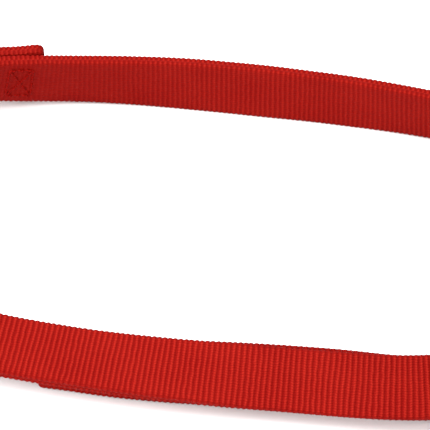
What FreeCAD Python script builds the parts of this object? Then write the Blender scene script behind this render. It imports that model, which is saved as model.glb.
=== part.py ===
import FreeCAD, Part
import os
from math import asin, cos, hypot, pi, radians, sin

from FreeCAD import Matrix, Placement, Rotation, Vector
import Sketcher

# Saxophone neck strap, lying on a table with its webbing on edge, in millimetres, +Z up.
# +X runs along the loop towards the snap hook and +Y to the far side of the loop.
# The origin is the middle of the whole strap's footprint, on the table.

doc = FreeCAD.newDocument("NeckStrap")
sheet = doc.addObject("Spreadsheet::Sheet", "Sizes")

SIZES = {
    # where the loop's own datum lies from the origin
    "datum_x": -23.75,
    "datum_y": 14.91,
    # webbing
    "webbing_width": 15.0,
    "webbing_thick": 3.2,
    "layer_gap": 0.2,
    "wrap_gap": 0.15,
    "foldback": 20.5,
    "fold_taper": 9.0,
    "tail_length": 110.5,
    "tail_rise": 0.8,
    "tail_rise_length": 30.0,
    "section_step": 4.0,
    # wire rings between the webbing and the neck pad
    "ring_wire": 3.0,
    "ring_inside_length": 8.0,
    "ring_inside_width": 17.0,
    "ring_corner": 3.2,
    # three-bar slider
    "slider_station": 150.0,
    "slider_bar": 2.4,
    "slider_front_slot": 7.0,
    "slider_rear_slot": 9.5,
    "slider_inside_width": 16.4,
    "slider_rail": 3.0,
    "slider_end": 1.9,
    "slider_round": 0.8,
    # neck pad
    "pad_width": 38.0,
    "pad_end_width": 19.0,
    "pad_start": 7.0,
    "pad_foam": 5.0,
    "pad_foam_inset": 14.0,
    "pad_foam_margin": 2.5,
    "pad_cover": 1.2,
    "pad_lining": 1.0,
    "pad_binding": 1.6,
    "pad_seam_inset": 1.6,
    "tab_width": 15.0,
    "tab_thick": 1.5,
    "tab_depth": 12.0,
    # stitching
    "thread": 0.6,
    "stitch_pitch": 2.2,
    "stitch_length": 1.6,
    "stitch_lift": 0.08,
    "box_length": 6.6,
    "box_width": 9.6,
    "box_margin": 3.2,
    # swivel eye of the hook
    "eye_x": 165.0,
    "eye_y": -14.0,
    "eye_z": 14.0,
    "eye_wire": 3.2,
    "eye_inside_length": 7.8,
    "eye_clear": 0.3,
    "boss_diameter": 8.0,
    "boss_length": 3.7,
    "boss_setback": 0.3,
    "post_diameter": 3.0,
    "post_clear": 0.2,
    "post_head": 6.0,
    "post_head_thick": 1.4,
    "washer_thick": 0.6,
    "washer_diameter": 7.0,
    # snap hook
    "barrel_start": 14.3,
    "barrel_length": 23.7,
    "barrel_diameter": 9.0,
    "bore_diameter": 5.4,
    "rear_wall": 4.8,
    "bolt_diameter": 5.0,
    "bolt_rear": 29.0,
    "bolt_travel": 7.0,
    "nose_x": 46.0,
    "nose_gap": 0.3,
    "hook_wire": 4.2,
    "hook_drop": 11.6,
    "hook_heel": 6.0,
    "stud_x": 32.0,
    "stud_diameter": 2.4,
    "stud_knob": 5.2,
    "spring_wire": 0.5,
    "spring_diameter": 4.4,
    "spring_turns": 6.0,
}

for row, (alias, number) in enumerate(SIZES.items(), start=1):
    sheet.set(f"A{row}", alias)
    sheet.set(f"B{row}", str(number))
    sheet.setAlias(f"B{row}", alias)
doc.recompute()


def size(alias):
    """A driving dimension, read back from the sheet."""
    return float(sheet.get(alias))


DATUM = Vector(size("datum_x"), size("datum_y"), 0)
WIDE = size("webbing_width")
THICK = size("webbing_thick")
LAYER = THICK + size("layer_gap")
EYE = Vector(size("eye_x"), size("eye_y"), size("eye_z"))
EYE_TURN = size("eye_wire") / 2 + size("eye_clear") + THICK / 2

# Stations of the three lines that carry the soft parts, from the loop's datum:
# x, y, height of the band's middle, and how far its upper edge leans inwards, in degrees.
FAR_STATIONS = [
    (-71, 33.4, 11.8, 17),
    (-62, 37.2, 10.3, 12.5),
    (-50, 41.2, 8.7, 9.6),
    (-36, 44.1, 7.9, 8.5),
    (-16, 45.5, 7.6, 0),
    (6, 45.05, 7.6, -3),
    (28, 43.85, 7.6, 1.5),
    (50, 41.1, 7.8, 8),
    (74, 35.2, 8.4, 10),
    (98, 26.5, 10, 9),
    (118, 16, 12, 6),
    (134, 3, 13.5, 3),
    (147, -7.5, 14, 1),
    (155, EYE.y + EYE_TURN, EYE.z, 0),
    (EYE.x, EYE.y + EYE_TURN, EYE.z, 0),
]
NEAR_STATIONS = [
    (-71, -66, 12.6, 30),
    (-60, -66.5, 10.8, 50),
    (-46, -67.3, 8.75, 65),
    (-30, -68.4, 7.9, 67),
    (-8, -70, 7.85, 66.5),
    (15, -70.7, 8.7, 47),
    (36, -70.8, 9, 43),
    (56, -70.5, 9.2, 46),
    (68, -68.05, 10.1, 46),
    (80, -65.6, 11, 46),
    (92, -63.15, 11.9, 46),
    (104, -60.7, 12.8, 46),
    (119, -51.5, 13.3, 26),
    (133, -38, 13.7, 11),
    (146, -24, 14, 3),
    (155, EYE.y - EYE_TURN, EYE.z, 0),
    (EYE.x, EYE.y - EYE_TURN, EYE.z, 0),
]
PAD_STATIONS = [
    (-120, 28, 17.5, 12),
    (-143, 23, 20.5, 12),
    (-161, 8, 21.5, 12),
    (-168.5, -18, 21.6, 12),
    (-161, -43, 21.5, 12),
    (-143, -58, 20.5, 12),
    (-120, -64.5, 17.5, 15),
]


def cubic(poles, u):
    """A point of the even cubic B-spline that starts and ends on its first and last poles."""
    padded = [poles[0]] * 2 + list(poles) + [poles[-1]] * 2
    i = min(int(u), len(padded) - 4)
    f = u - i
    weights = (
        (1 - f) ** 3 / 6,
        (3 * f**3 - 6 * f**2 + 4) / 6,
        (-3 * f**3 + 3 * f**2 + 3 * f + 1) / 6,
        f**3 / 6,
    )
    return [
        sum(k * padded[i + j][axis] for j, k in enumerate(weights))
        for axis in range(4)
    ]


def ease(f):
    """0 to 1 with level ends."""
    f = min(max(f, 0.0), 1.0)
    return f * f * (3 - 2 * f)


class Line:
    """A smooth line in space, with the direction, outward side and width of the band on it."""

    def __init__(self, stations, outside_left):
        self.hand = 1 if outside_left else -1
        steps = 60 * (len(stations) + 1)
        self.rows = [
            cubic(stations, (len(stations) + 1) * k / steps) for k in range(steps + 1)
        ]
        self.at = [0.0]
        for a, b in zip(self.rows, self.rows[1:]):
            self.at.append(self.at[-1] + hypot(b[0] - a[0], b[1] - a[1], b[2] - a[2]))
        self.length = self.at[-1]

    def row(self, s):
        s = min(max(s, 0.0), self.length)
        k = 1
        while self.at[k] < s:
            k += 1
        f = (s - self.at[k - 1]) / max(self.at[k] - self.at[k - 1], 1e-9)
        return [a + f * (b - a) for a, b in zip(self.rows[k - 1], self.rows[k])]

    def frame(self, s):
        """Point, direction, outward normal and width direction at a distance along the line."""
        inside = min(max(s, 0.0), self.length)
        a = self.row(inside - 1.0)
        b = self.row(inside + 1.0)
        along = Vector(b[0] - a[0], b[1] - a[1], b[2] - a[2]).normalize()
        row = self.row(inside)
        level_out = Vector(-along.y, along.x, 0).normalize() * self.hand
        upright = (Vector(0, 0, 1) - along * along.z).normalize()
        lean = radians(row[3])
        width = upright * cos(lean) - level_out * sin(lean)
        out = (width.cross(along) * self.hand).normalize()
        point = Vector(*row[:3]) + DATUM + along * (s - inside)
        return point, along, out, width

    def placement(self, s, outward):
        """Where a part sits whose X runs along the line, Y outwards and Z across the band."""
        point, along, out, width = self.frame(s)
        side = width.cross(along)
        point = point + out * outward
        return Placement(
            Matrix(
                along.x, side.x, width.x, point.x,
                along.y, side.y, width.y, point.y,
                along.z, side.z, width.z, point.z,
                0, 0, 0, 1,
            )
        )


far_line = Line(FAR_STATIONS, outside_left=True)
near_line = Line(NEAR_STATIONS, outside_left=False)

RING_TURN = size("ring_wire") / 2 + size("wrap_gap") + THICK / 2
RING_PITCH = size("ring_inside_length") + size("ring_wire")


def pad_end_station(line, beyond):
    """A station of the pad's line that continues a webbing line through its ring."""
    point, along, out, _ = line.frame(0)
    place = point + out * RING_TURN - along * (RING_PITCH + beyond) - DATUM
    return (place.x, place.y, place.z, line.row(0)[3])


PAD_LEAD = 14.0
pad_stations = [pad_end_station(far_line, beyond) for beyond in (0.0, PAD_LEAD)]
pad_stations += PAD_STATIONS
pad_stations += [pad_end_station(near_line, beyond) for beyond in (PAD_LEAD, 0.0)]
pad_line = Line(pad_stations, outside_left=False)


def section(centre, through, across, thick, low, high):
    """A rectangle across a band, through its thickness and from its lower to its upper edge."""
    corners = [
        centre + through * (thick / 2) + across * high,
        centre - through * (thick / 2) + across * high,
        centre - through * (thick / 2) + across * low,
        centre + through * (thick / 2) + across * low,
    ]
    return Part.makePolygon(corners + corners[:1])


def band_sections(line, route, thick, wide):
    """Sections of a band on a line. Its route holds (along, outwards) or (along, outwards, up)."""
    wires = []
    for k, (s, outward, *rise) in enumerate(route):
        before = route[max(k - 1, 0)]
        after = route[min(k + 1, len(route) - 1)]
        ds = after[0] - before[0]
        dout = after[1] - before[1]
        span = hypot(ds, dout)
        point, along, out, width = line.frame(s)
        through = (out * (ds / span) - along * (dout / span)) * line.hand
        centre = point + out * outward + width * sum(rise)
        wires.append(section(centre, through, width, thick, -wide / 2, wide / 2))
    return wires


def straight(start, end, outward=lambda s: 0.0):
    """Route points from one distance to another, at the sheet's step."""
    count = max(2, round(abs(end - start) / size("section_step")))
    points = [start + (end - start) * k / count for k in range(count + 1)]
    return [(s, outward(s)) for s in points]


def turn(centre_s, centre_out, radius, first, last, count=8):
    """Route points on an arc, with angles in degrees from along the line towards outwards."""
    angles = [radians(first + (last - first) * k / count) for k in range(count + 1)]
    return [(centre_s + radius * cos(a), centre_out + radius * sin(a)) for a in angles]


def loft(wires):
    """A closed solid through rectangles."""
    shape = Part.makeLoft(wires, True, True)
    if shape.Volume < 0:
        shape.reverse()
    return shape


def add_solid(name, shape):
    """A sub-part whose shape is set directly."""
    feature = doc.addObject("Part::Feature", name)
    feature.Label = name
    feature.Shape = shape
    feature.Placement = Placement()
    return feature


# ---------------------------------------------------------------- webbing

SLIDER_TURN = size("slider_bar") / 2 + size("wrap_gap") + THICK / 2
CENTRE_BAR = size("slider_station")
FRONT_BAR = CENTRE_BAR - size("slider_front_slot")
REAR_BAR = CENTRE_BAR + size("slider_rear_slot")


def foldback(s):
    """How far outside the run the sewn end of the webbing lies."""
    return 2 * RING_TURN + (LAYER - 2 * RING_TURN) * ease(s / size("fold_taper"))


def ring_fold():
    """The sewn end, back along the outside of the run and round the ring's bar."""
    route = straight(size("foldback"), 1.0, foldback)
    return route + turn(0, RING_TURN, RING_TURN, 90, 270)


def eye_sections():
    """The half turn round the upright bar of the swivel eye."""
    wires = []
    for k in range(1, 12):
        angle = radians(90 - 180 * k / 12)
        outward = Vector(cos(angle), sin(angle), 0)
        centre = EYE + DATUM + outward * EYE_TURN
        wires.append(section(centre, outward, Vector(0, 0, 1), THICK, -WIDE / 2, WIDE / 2))
    return wires


def near_main_offset(s):
    """The main webbing leaves the slider outside its bars and closes on the line by the hook."""
    return 2 * SLIDER_TURN * (1 - ease((s - REAR_BAR) / (near_line.length - REAR_BAR)))


def slider_foldback(s):
    """The sewn end round the slider's rear bar, lying inside the main webbing."""
    gap = 2 * SLIDER_TURN + (LAYER - 2 * SLIDER_TURN) * ease((s - REAR_BAR) / size("fold_taper"))
    return near_main_offset(s) - gap


def main_route_by_slider():
    """From the hook to the slider's rear bar, round it and back along the inside."""
    run = straight(near_line.length - 1.0, REAR_BAR + 1.0, near_main_offset)
    wrap = turn(REAR_BAR, SLIDER_TURN, SLIDER_TURN, 90, 270)
    back = straight(REAR_BAR + 1.5, REAR_BAR + size("foldback"), slider_foldback)
    return run + wrap + back


def adjuster_route():
    """Ring fold, near run, under the front bar, over the centre bar and back as the free tail."""
    swing = asin(2 * SLIDER_TURN / size("slider_front_slot"))
    under = turn(FRONT_BAR, SLIDER_TURN, SLIDER_TURN, 270, 270 + swing * 180 / pi, 4)
    over = turn(CENTRE_BAR, SLIDER_TURN, SLIDER_TURN, 90 + swing * 180 / pi, -90, 12)
    tail_end = CENTRE_BAR - size("tail_length")
    drop = size("slider_front_slot")

    def tail(s):
        return -LAYER * ease((CENTRE_BAR - s) / drop)

    def rise(s):
        away = FRONT_BAR - drop - s
        return size("tail_rise") * ease(away / size("tail_rise_length"))

    run = straight(2.0, FRONT_BAR - 2.0)
    first = [(CENTRE_BAR - drop * k / 5, tail(CENTRE_BAR - drop * k / 5)) for k in (1, 2, 3, 4)]
    back = [(s, outward, rise(s)) for s, outward in straight(FRONT_BAR, tail_end, tail)]
    return ring_fold() + run + under + over + first + back


main_wires = band_sections(far_line, ring_fold() + straight(2.0, far_line.length - 1.0), THICK, WIDE)
main_wires += eye_sections()
main_wires += band_sections(near_line, main_route_by_slider(), THICK, WIDE)
add_solid("main_webbing", loft(main_wires))
add_solid("adjuster_webbing", loft(band_sections(near_line, adjuster_route(), THICK, WIDE)))


# ---------------------------------------------------------------- neck pad

PAD_START = size("pad_start")
PAD_END = pad_line.length - PAD_START
PAD_MIDDLE = pad_line.length / 2


def pad_half(s):
    """Half the pad's width: full at the middle of the neck, narrow at the rings."""
    rise = ease((PAD_MIDDLE - abs(s - PAD_MIDDLE) - PAD_START) / (PAD_MIDDLE * 0.72))
    narrow = size("pad_end_width") / 2
    return narrow + (size("pad_width") / 2 - narrow) * rise


def pad_layer(outward, thick, start, end, low, high):
    """A layer that follows the pad's line, with its edges as functions of the distance."""
    wires = []
    for s, _ in straight(start, end):
        point, along, out, width = pad_line.frame(s)
        wires.append(section(point + out * outward, out, width, thick, low(s), high(s)))
    return loft(wires)


FOAM = size("pad_foam")
COVER = size("pad_cover")
LINING = size("pad_lining")
BINDING = size("pad_binding")
PAD_THICK = FOAM + COVER + LINING

add_solid(
    "pad_foam_core",
    pad_layer(
        0,
        FOAM - 0.2,
        PAD_START + size("pad_foam_inset"),
        PAD_END - size("pad_foam_inset"),
        lambda s: size("pad_foam_margin") - pad_half(s),
        lambda s: pad_half(s) - size("pad_foam_margin"),
    ),
)
add_solid(
    "pad_outer_cover",
    pad_layer(
        (FOAM + COVER) / 2,
        COVER,
        PAD_START,
        PAD_END,
        lambda s: -pad_half(s),
        pad_half,
    ),
)
add_solid(
    "pad_lining",
    pad_layer(
        -(FOAM + LINING) / 2,
        LINING,
        PAD_START,
        PAD_END,
        lambda s: -pad_half(s),
        pad_half,
    ),
)


def binding(side):
    """The tape along the pad's upper (1) or lower (-1) edge."""

    def inner(s):
        return side * (pad_half(s) + 0.1)

    def outer(s):
        return side * (pad_half(s) + 0.1 + BINDING)

    low, high = (inner, outer) if side > 0 else (outer, inner)
    middle = (COVER - LINING) / 2
    return pad_layer(middle, PAD_THICK + 1.0, PAD_START, PAD_END, low, high)


add_solid("pad_upper_binding", binding(1))
add_solid("pad_lower_binding", binding(-1))

TAB_TURN = size("ring_wire") / 2 + size("wrap_gap") + size("tab_thick") / 2


def tab_sections(sign):
    """A short strap folded round a ring, with both legs sewn inside the end of the pad."""
    base = 0.0 if sign > 0 else pad_line.length
    depth = PAD_START + size("tab_depth")
    closed = size("tab_thick") / 2 + 0.1

    def leg(reach):
        return closed + (TAB_TURN - closed) * (1 - ease(reach / PAD_START))

    reaches = [depth * k / 6 for k in range(6, 0, -1)]
    outer = [(base + sign * reach, leg(reach)) for reach in reaches]
    wrap = [
        (base - sign * TAB_TURN * cos(radians(a)), TAB_TURN * sin(radians(a)))
        for a in range(90, -91, -20)
    ]
    inner = [(s, -outward) for s, outward in reversed(outer)]
    return band_sections(pad_line, outer + wrap + inner, size("tab_thick"), size("tab_width"))


add_solid("far_pad_tab", loft(tab_sections(1)))
add_solid("near_pad_tab", loft(tab_sections(-1)))


# ---------------------------------------------------------------- stitching

THREAD = size("thread")


def stitch(line, s, across, face, heading):
    """One thread length lying on a face, along a heading of (along the band, across it)."""
    middle = Vector(0, 0, across)
    before = line.placement(s - 0.5, face(s - 0.5)).multVec(middle)
    after = line.placement(s + 0.5, face(s + 0.5)).multVec(middle)
    run = (after - before).normalize()
    width = line.frame(s)[3]
    along = (run * heading[0] + width * heading[1]).normalize()
    normal = run.cross(width).normalize()
    side = normal.cross(along)
    point = line.placement(s, face(s)).multVec(middle)
    long = size("stitch_length")
    bar = Part.makeBox(long, THREAD, THREAD, Vector(-long / 2, -THREAD / 2, -THREAD / 2))
    bar.Placement = Placement(
        Matrix(
            along.x, side.x, normal.x, point.x,
            along.y, side.y, normal.y, point.y,
            along.z, side.z, normal.z, point.z,
            0, 0, 0, 1,
        )
    )
    return bar


def seam(points):
    """Even steps along a polyline, each with the heading of its leg."""
    steps = []
    for (s0, a0), (s1, a1) in zip(points, points[1:]):
        long = hypot(s1 - s0, a1 - a0)
        count = max(1, round(long / size("stitch_pitch")))
        for k in range(count):
            f = (k + 0.5) / count
            steps.append((s0 + f * (s1 - s0), a0 + f * (a1 - a0), (s1 - s0, a1 - a0)))
    return steps


def box_stitch(line, middle, faces):
    """A sewn box with its diagonals, on each of the given faces (functions of the distance)."""
    half_long = size("box_length") / 2
    half_wide = size("box_width") / 2
    a, b = middle - half_long, middle + half_long
    outline = [(a, -half_wide), (b, -half_wide), (b, half_wide), (a, half_wide), (a, -half_wide)]
    steps = seam(outline) + seam([(a, -half_wide), (b, half_wide)])
    steps += seam([(a, half_wide), (b, -half_wide)])
    return Part.makeCompound(
        [
            stitch(line, s, across, face, heading)
            for face in faces
            for s, across, heading in steps
        ]
    )


ON_FACE = THREAD / 2 + size("stitch_lift")
SEWN_MIDDLE = size("foldback") - size("box_margin") - size("box_length") / 2

ring_faces = [
    lambda s: -THICK / 2 - ON_FACE,
    lambda s: foldback(s) + THICK / 2 + ON_FACE,
]
add_solid("main_ring_stitching", box_stitch(far_line, SEWN_MIDDLE, ring_faces))
add_solid("adjuster_ring_stitching", box_stitch(near_line, SEWN_MIDDLE, ring_faces))
slider_faces = [
    lambda s: near_main_offset(s) + THICK / 2 + ON_FACE,
    lambda s: slider_foldback(s) - THICK / 2 - ON_FACE,
]
add_solid(
    "main_slider_stitching", box_stitch(near_line, REAR_BAR + SEWN_MIDDLE, slider_faces)
)
pad_faces = [
    lambda s: FOAM / 2 + COVER + ON_FACE,
    lambda s: -FOAM / 2 - LINING - ON_FACE,
]
TAB_MIDDLE = PAD_START + size("tab_depth") / 2
add_solid("far_tab_stitching", box_stitch(pad_line, TAB_MIDDLE, pad_faces))
add_solid("near_tab_stitching", box_stitch(pad_line, pad_line.length - TAB_MIDDLE, pad_faces))


def pad_edge_seam():
    """The two rows of stitches that run the length of the pad, beside its bindings."""
    bars = []
    first = PAD_START + size("tab_depth") + 3
    last = pad_line.length - first
    count = round((last - first) / (1.6 * size("stitch_pitch")))
    for k in range(count + 1):
        s = first + (last - first) * k / count
        slope = (pad_half(s + 1) - pad_half(s - 1)) / 2
        for side in (1, -1):
            across = side * (pad_half(s) - size("pad_seam_inset"))
            for face in pad_faces:
                bars.append(stitch(pad_line, s, across, face, (1, side * slope)))
    return Part.makeCompound(bars)


add_solid("pad_stitching", pad_edge_seam())


# ---------------------------------------------------------------- metal parts


def new_body(name):
    body = doc.addObject("PartDesign::Body", name)
    body.Label = name
    return body


def new_sketch(body, name, role):
    """A sketch on one of the body's own origin planes."""
    sketch = body.newObject("Sketcher::SketchObject", name)
    plane = [f for f in body.Origin.OriginFeatures if f.Role == role][0]
    sketch.AttachmentSupport = (plane, [""])
    sketch.MapMode = "FlatFace"
    return sketch


def join_ends(sketch, edges, closed):
    """Coincident ends along a chain of edges."""
    pairs = list(zip(edges, edges[1:]))
    if closed:
        pairs.append((edges[-1], edges[0]))
    for a, b in pairs:
        sketch.addConstraint(Sketcher.Constraint("Coincident", a, 2, b, 1))


def polygon(sketch, points):
    """A closed chain of straight edges."""
    corners = [Vector(x, y, 0) for x, y in points]
    edges = [
        sketch.addGeometry(Part.LineSegment(a, b))
        for a, b in zip(corners, corners[1:] + corners[:1])
    ]
    join_ends(sketch, edges, True)


def circle(sketch, x, y, diameter):
    """A circle whose diameter is an expression on the sheet."""
    edge = sketch.addGeometry(Part.Circle(Vector(x, y, 0), Vector(0, 0, 1), 1.0))
    at = sketch.addConstraint(Sketcher.Constraint("Diameter", edge, 2.0))
    sketch.setExpression(f"Constraints[{at}]", diameter)


def spun(body, name, points, role="XZ_Plane", axis="H_Axis"):
    """A full revolution of a closed profile about an axis of its sketch."""
    sketch = new_sketch(body, name + "_profile", role)
    polygon(sketch, points)
    turned = body.newObject("PartDesign::Revolution", name)
    turned.Profile = sketch
    turned.ReferenceAxis = (sketch, [axis])
    turned.Angle = 360
    return turned


def wire_loop(body, name, length, width, corner, wire):
    """A rounded rectangle of round wire in the XZ plane, centred on the body's origin."""
    half_l, half_w = length / 2, width / 2
    path = new_sketch(body, name + "_path", "XZ_Plane")
    arcs = []
    for sx, sz, first in ((1, 1, 0), (-1, 1, 90), (-1, -1, 180), (1, -1, 270)):
        centre = Vector(sx * (half_l - corner), sz * (half_w - corner), 0)
        ring = Part.Circle(centre, Vector(0, 0, 1), corner)
        arcs.append(Part.ArcOfCircle(ring, radians(first), radians(first + 90)))
    top = Vector(0, half_w, 0)
    pieces = [Part.LineSegment(top, arcs[1].StartPoint), arcs[1]]
    pieces += [Part.LineSegment(arcs[1].EndPoint, arcs[2].StartPoint), arcs[2]]
    pieces += [Part.LineSegment(arcs[2].EndPoint, arcs[3].StartPoint), arcs[3]]
    pieces += [Part.LineSegment(arcs[3].EndPoint, arcs[0].StartPoint), arcs[0]]
    pieces += [Part.LineSegment(arcs[0].EndPoint, top)]
    edges = [path.addGeometry(piece) for piece in pieces]
    join_ends(path, edges, True)
    profile = new_sketch(body, name + "_wire", "YZ_Plane")
    circle(profile, 0, half_w, wire)
    pipe = body.newObject("PartDesign::AdditivePipe", name)
    pipe.Profile = profile
    pipe.Spine = (path, [f"Edge{k + 1}" for k in range(len(edges))])
    return pipe


def make_ring(name, line):
    """A wire ring, one bar in the webbing's fold and the other in the pad's tab."""
    body = new_body(name)
    wide = size("ring_inside_width") + size("ring_wire")
    wire_loop(body, name + "_loop", RING_PITCH, wide, size("ring_corner"), "Sizes.ring_wire")
    body.Placement = line.placement(-RING_PITCH / 2, RING_TURN)
    return body


make_ring("far_ring", far_line)
make_ring("near_ring", near_line)


def make_slider():
    """Two side rails joined by three round bars, cast in one piece."""
    rail_start = size("slider_front_slot") + size("slider_end")
    inside = size("slider_inside_width")
    pieces = []
    for name, side in (("slider_upper_rail", 1), ("slider_lower_rail", -1)):
        rail = doc.addObject("Part::Box", name)
        rail.setExpression(
            "Length", "Sizes.slider_front_slot + Sizes.slider_rear_slot + 2 * Sizes.slider_end"
        )
        rail.setExpression("Width", "Sizes.slider_bar")
        rail.setExpression("Height", "Sizes.slider_rail")
        low = inside / 2 if side > 0 else -inside / 2 - size("slider_rail")
        rail.Placement.Base = Vector(-rail_start, -size("slider_bar") / 2, low)
        doc.recompute()
        rounded = doc.addObject("Part::Fillet", name + "_rounded")
        rounded.Base = rail
        radius = size("slider_round")
        rounded.Edges = [(k + 1, radius, radius) for k in range(len(rail.Shape.Edges))]
        pieces.append(rounded)
    for name, along in (
        ("slider_front_bar", -size("slider_front_slot")),
        ("slider_centre_bar", 0),
        ("slider_rear_bar", size("slider_rear_slot")),
    ):
        bar = doc.addObject("Part::Cylinder", name)
        bar.setExpression("Radius", "Sizes.slider_bar / 2")
        bar.setExpression("Height", "Sizes.slider_inside_width + 2")
        bar.Placement.Base = Vector(along, 0, -inside / 2 - 1)
        pieces.append(bar)
    frame = doc.addObject("Part::MultiFuse", "slider_frame")
    frame.Label = "slider_frame"
    frame.Shapes = pieces
    frame.Refine = True
    frame.Placement = near_line.placement(CENTRE_BAR, SLIDER_TURN)
    return frame


make_slider()

# The hook's parts share one frame: X along the swivel from the eye's upright bar, Z up.
HOOK_PLACE = Placement(EYE + DATUM, Rotation())
EYE_PITCH = size("eye_inside_length") + size("eye_wire")
BOSS_START = EYE_PITCH - size("eye_wire") / 2 + size("boss_setback")


def make_eye():
    """The wire eye that the webbing turns in, with the boss that carries the swivel post."""
    body = new_body("hook_eye")
    wide = size("ring_inside_width") + size("eye_wire")
    wire_loop(body, "eye_loop", EYE_PITCH, wide, size("ring_corner"), "Sizes.eye_wire")
    boss = new_sketch(body, "eye_boss_outline", "YZ_Plane")
    boss.AttachmentOffset = Placement(Vector(0, 0, BOSS_START - EYE_PITCH / 2), Rotation())
    circle(boss, 0, 0, "Sizes.boss_diameter")
    raised = body.newObject("PartDesign::Pad", "eye_boss")
    raised.Profile = boss
    raised.setExpression("Length", "Sizes.boss_length")
    doc.recompute()
    solid = body.Shape.Volume
    bore = new_sketch(body, "eye_bore_outline", "YZ_Plane")
    circle(bore, 0, 0, "Sizes.post_diameter + 2 * Sizes.post_clear")
    drilled = body.newObject("PartDesign::Pocket", "eye_bore")
    drilled.Profile = bore
    drilled.Type = "ThroughAll"
    drilled.Reversed = True
    doc.recompute()
    if body.Shape.Volume >= solid:
        raise RuntimeError("the bore of the eye cuts nothing")
    body.Placement = Placement(EYE + DATUM + Vector(EYE_PITCH / 2, 0, 0), Rotation())
    return body


make_eye()

HEAD_START = EYE_PITCH - size("eye_wire") / 2 - size("post_head_thick") - 0.1
BARREL_START = size("barrel_start")
BARREL_END = BARREL_START + size("barrel_length")
BORE_START = BARREL_START + size("rear_wall")


def make_post():
    """A rivet with a domed head inside the eye, fixed in the rear wall of the hook."""
    body = new_body("swivel_post")
    shank = size("post_diameter") / 2
    head = size("post_head") / 2
    thick = size("post_head_thick")
    outline = [
        (HEAD_START, 0),
        (HEAD_START, head * 0.45),
        (HEAD_START + thick * 0.3, head * 0.8),
        (HEAD_START + thick * 0.75, head),
        (HEAD_START + thick, head),
        (HEAD_START + thick, shank),
        (BORE_START - 0.6, shank),
        (BORE_START - 0.2, shank - 0.4),
        (BORE_START - 0.2, 0),
    ]
    spun(body, "swivel_post_turned", outline)
    body.Placement = HOOK_PLACE
    return body


make_post()


def make_washer():
    """The flat washer between the eye's boss and the hook."""
    disc = doc.addObject("Part::Cylinder", "washer_disc")
    disc.setExpression("Radius", "Sizes.washer_diameter / 2")
    disc.setExpression("Height", "Sizes.washer_thick")
    hole = doc.addObject("Part::Cylinder", "washer_hole")
    hole.setExpression("Radius", "Sizes.post_diameter / 2 + 0.1")
    hole.setExpression("Height", "Sizes.washer_thick")
    washer = doc.addObject("Part::Cut", "swivel_washer")
    washer.Label = "swivel_washer"
    washer.Base = disc
    washer.Tool = hole
    start = BARREL_START - size("washer_thick") - 0.1
    washer.Placement = HOOK_PLACE.multiply(
        Placement(Vector(start, 0, 0), Rotation(Vector(0, 1, 0), 90))
    )
    return washer


make_washer()


def hook_path(sketch):
    """The hook's bend: forward from the nose, round the toe, back and up to the barrel."""
    drop = size("hook_drop")
    heel = size("hook_heel")
    toe = drop / 2
    nose = size("nose_x")
    heel_x = BARREL_END - size("hook_wire") / 2
    toe_x = nose + 3.0
    toe_bend = Part.ArcOfCircle(
        Part.Circle(Vector(toe_x, -toe, 0), Vector(0, 0, 1), toe), radians(-90), radians(90)
    )
    heel_bend = Part.ArcOfCircle(
        Part.Circle(Vector(heel_x + heel, heel - drop, 0), Vector(0, 0, 1), heel),
        radians(180),
        radians(270),
    )
    root = Vector(heel_x, -size("barrel_diameter") / 2 + 1.2, 0)
    pieces = [
        Part.LineSegment(root, Vector(heel_x, heel - drop, 0)),
        heel_bend,
        Part.LineSegment(Vector(heel_x + heel, -drop, 0), Vector(toe_x, -drop, 0)),
        toe_bend,
        Part.LineSegment(Vector(toe_x, 0, 0), Vector(nose, 0, 0)),
    ]
    edges = [sketch.addGeometry(piece) for piece in pieces]
    return edges, root


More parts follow.
